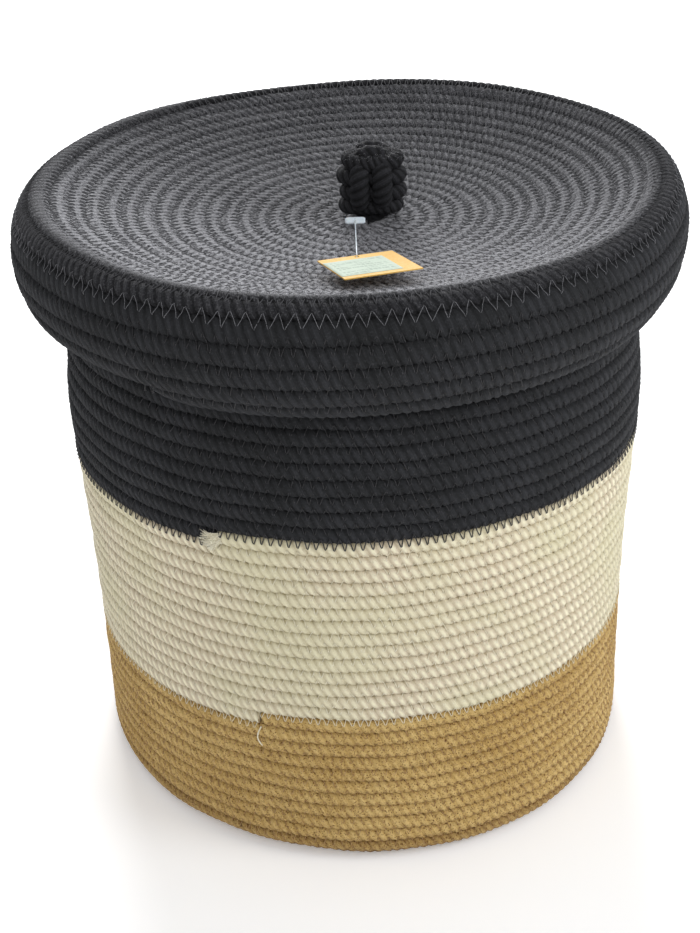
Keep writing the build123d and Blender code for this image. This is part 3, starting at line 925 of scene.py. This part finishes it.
def paperLabel():
    # stuck on flush with the card's left edge
    middle, (along, across, through) = boxAxes("tag_label")
    across = across * np.sign(across[0])
    through = through * np.sign(through[2])
    middle = middle - unit(across) * sticker["shift"]
    rows, columns = sticker["rows"], sticker["columns"]
    grid = np.stack(np.meshgrid(np.linspace(-1, 1, columns), np.linspace(-1, 1, rows)), axis=-1)
    grid = grid.reshape(-1, 2)
    flat = grid[:, :1] * across + grid[:, 1:] * along + middle
    points = np.concatenate([flat - through * sticker["pressed"], flat + through])
    spot = np.concatenate([grid, grid]) * (np.linalg.norm(across), np.linalg.norm(along))
    spot = np.column_stack([spot, spot[:, 0] * 0])
    edge = np.abs(np.concatenate([grid, grid])).max(axis=1)
    cell = (np.arange(rows - 1)[:, None] * columns + np.arange(columns - 1)).ravel()
    quads = np.column_stack([cell, cell + 1, cell + columns + 1, cell + columns])
    count = len(flat)
    rim = np.concatenate([np.arange(columns), columns * np.arange(1, rows) + columns - 1,
                          np.arange(count - 2, count - columns - 1, -1),
                          columns * np.arange(rows - 2, 0, -1)])
    after = np.roll(rim, -1)
    sides = np.column_stack([rim, after, after + count, rim + count])
    if np.dot(np.cross(across, along), through) < 0:
        quads, sides = quads[:, ::-1], sides[:, ::-1]
    return buildPiece("paper_label", points, [quads + count, quads[:, ::-1], sides],
                      {"labelPlace": spot, "labelInside": (edge < sticker["print"]) * 1.0}, labelFinish())


def pinFinish():
    bench = Bench("clear_nylon")
    haze = bench.noise(bench.place(), 500.0, 2.0)
    colour = bench.blend(bench.ease(haze, 0.3, 0.7), paint(226, 234, 240), paint(244, 248, 250))
    return bench.finish({"Base Color": colour, "Roughness": bench.ease(haze, 0.3, 0.7, 0.25, 0.4),
                         "Subsurface Weight": 0.2, "Transmission Weight": 0.15})


nylon = pinFinish()
pin = {
    "width": 0.0118, "height": 0.0042, "depth": 0.0013, "tilt": 0.9,  # of the flat head
    "fromKnob": 0.0017, "above": 0.0006, "lift": 0.0018, "start": (0, 0.0006, 0.0004), "end": 0.0004,
    "thick": 0.0008, "thin": 0.00036, "taper": 0.18, "bow": 0.0012, "sides": 12, "columns": 13,
}


def nylonPin():
    # one moulding: a flat head tipped up on edge, and a filament that thins out towards the card
    low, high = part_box("tag_pin")
    sides, columns = pin["sides"], pin["columns"]
    middle = np.array(((low.x + high.x) / 2, high.y - pin["fromKnob"], low.z + pin["above"] + pin["lift"]))
    end = np.array(((low.x + high.x) / 2, low.y + pin["end"], high.z - pin["end"]))
    across = np.linspace(-1, 1, columns)
    size = (1 - 0.35 * np.abs(across) ** 8)[:, None]
    angle = np.arange(sides) * fullTurn / sides
    tall = np.sign(np.sin(angle)) * np.abs(np.sin(angle)) ** 0.5 * size * pin["height"] / 2
    deep = np.sign(np.cos(angle)) * np.abs(np.cos(angle)) ** 0.5 * size * pin["depth"] / 2
    rise, back = math.sin(pin["tilt"]), math.cos(pin["tilt"])
    head = middle + np.stack([across[:, None] * pin["width"] / 2 + tall * 0, tall * back - deep * rise,
                              tall * rise + deep * back], axis=-1)
    steps = np.linspace(0, 1, 28)
    start = middle - pin["start"]
    line = start + (end - start) * steps[:, None]
    line[:, 2] += pin["bow"] * np.sin(math.pi * steps)
    radii = pin["thin"] + (pin["thick"] - pin["thin"]) * np.clip(1 - steps / pin["taper"], 0, 1) ** 1.5
    points, faces = thinTubes(line[None], radii[None], 8, np.array([0.0, 0.0, 1.0]))
    tubes = [(head.reshape(-1, 3), tubeFaces(columns, sides), {}), (points, faces, {})]
    return joinTubes("nylon_pin", tubes, nylon)


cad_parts["tag_card"].data.materials[0] = cardFinish()
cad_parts["tag_pin_foot"].data.materials[0] = nylon
label = paperLabel()
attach(label, "swing_tag")
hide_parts("tag_label")
pinPiece = nylonPin()
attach(pinPiece, "tag_pin")
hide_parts("tag_pin")
print("tag finished")


studio = {"floorReach": 14.0, "floorDrop": 0.0005, "floorGlow": 0.2, "skyStrength": 0.53}


def floorFinish():
    bench = Bench("pale_floor")
    cloud = bench.noise(bench.place(), 2.0, 2.0)
    colour = bench.blend(bench.ease(cloud, 0.3, 0.7), paint(252, 252, 252), paint(254, 254, 254))
    return bench.finish({"Base Color": colour, "Roughness": 0.9, "Specular IOR Level": 0.1,
                         "Emission Color": paint(255, 255, 255), "Emission Strength": studio["floorGlow"]})


reach = studio["floorReach"]
floor = buildPiece("floor", np.array([(-reach, -reach, 0), (reach, -reach, 0), (reach, reach, 0),
                                      (-reach, reach, 0)]), [np.array([[0, 1, 2, 3]])], None,
                   floorFinish())
floor.location.z = -studio["floorDrop"]

world = bpy.data.worlds.new("studio")
bpy.context.scene.world = world
world.use_nodes = True
sky = world.node_tree.nodes["Background"].inputs
sky["Color"].default_value = paint(250, 251, 255)
sky["Strength"].default_value = studio["skyStrength"]

lamps = {
    "back_light": {"place": (-0.3, 2.9, 1.75), "aim": (0, 0, 0.35), "size": 1.6, "power": 105,
                   "colour": paint(254, 254, 255)},
    "right_light": {"place": (1.5, -0.6, 1.1), "aim": (0, 0, 0.2), "size": 0.9, "power": 12,
                    "colour": paint(250, 252, 255)},
    "floor_light": {"place": (0.1, -1.9, 2.0), "aim": (0, -0.5, 0), "size": 1.4, "power": 11,
                    "colour": paint(255, 254, 250)},
}
for name, look in lamps.items():
    lamp = bpy.data.lights.new(name, "AREA")
    lamp.shape = "DISK"
    lamp.size = look["size"]
    lamp.energy = look["power"]
    lamp.color = look["colour"][:3]
    holder = bpy.data.objects.new(name, lamp)
    holder.location = look["place"]
    ray = Vector(look["aim"]) - Vector(look["place"])
    holder.rotation_euler = ray.to_track_quat("-Z", "Y").to_euler()
    bpy.context.scene.collection.objects.link(holder)

view = {"middle": (0.0, -0.852, 0.642), "down": 0.50, "lean": -0.03, "lens": 57.9, "shift": -0.0064}
down, lean = view["down"], view["lean"]
ahead = Vector((0, math.cos(down), -math.sin(down)))
right, up = Vector((1, 0, 0)), Vector((0, math.sin(down), math.cos(down)))
leanRight = right * math.cos(lean) + up * math.sin(lean)
leanUp = up * math.cos(lean) - right * math.sin(lean)
camera = bpy.data.objects.new("camera", bpy.data.cameras.new("camera"))
camera.data.lens = view["lens"]
camera.data.shift_x = view["shift"]
camera.matrix_world = Matrix.Translation(view["middle"]) @ Matrix(
    (leanRight, leanUp, -ahead)).transposed().to_4x4()
bpy.context.scene.collection.objects.link(camera)
bpy.context.scene.camera = camera
bpy.context.scene.view_settings.view_transform = "Standard"
print("light and camera set")
